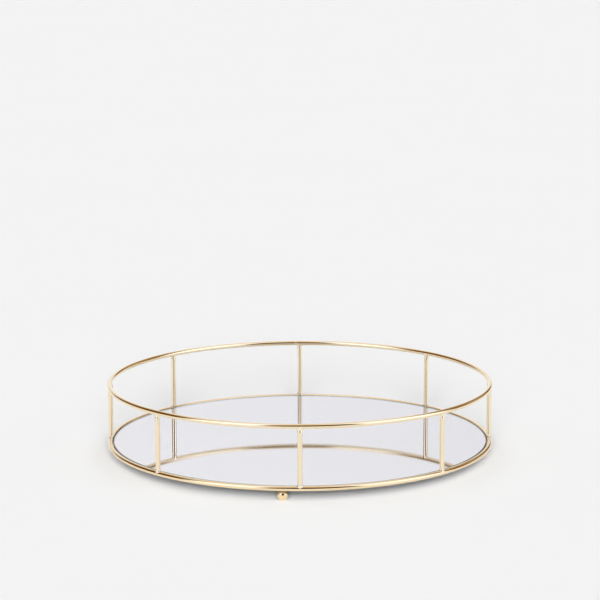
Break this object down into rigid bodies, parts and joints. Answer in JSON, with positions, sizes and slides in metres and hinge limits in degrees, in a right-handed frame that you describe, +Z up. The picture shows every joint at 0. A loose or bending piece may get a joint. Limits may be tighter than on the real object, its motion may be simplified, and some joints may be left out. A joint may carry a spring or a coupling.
{
  "type": "gallery tray",
  "caption": "Round mirror tray with a low open fence of polished wire on ball feet, for holding perfume bottles, jewellery and other small things on a dresser.",
  "frame": {"origin": "centre of the tray on the surface it stands on", "axes": "+Z up out of the mirror; -Y is the front, the side nearest the viewer, where one ball foot shows; +X to the viewer's right"},
  "size_m": [0.3006, 0.3006, 0.0585],
  "materials": {
    "gold_wire": "polished",
    "gold_weld": "polished",
    "gold_plate": "satin",
    "gold_feet": "polished",
    "mirror_glass": "polished",
    "silvering": "matte",
    "adhesive": "matte"
  },
  "bodies": {
    "root": {"top_ring": "gold_wire", "bottom_ring": "gold_wire", "post_front": "gold_wire", "post_front_right": "gold_wire", "post_right": "gold_wire", "post_back_right": "gold_wire", "post_back": "gold_wire", "post_back_left": "gold_wire", "post_left": "gold_wire", "post_front_left": "gold_wire", "top_weld_beads": "gold_weld", "bottom_weld_beads": "gold_weld", "top_ring_seam": "gold_weld", "base_plate": "gold_plate", "mirror_glass": "mirror_glass", "mirror_backing": "silvering", "mirror_adhesive_pads": "adhesive", "foot_front": "gold_feet", "foot_right": "gold_feet", "foot_back": "gold_feet", "foot_left": "gold_feet"}
  },
  "joints": []
}
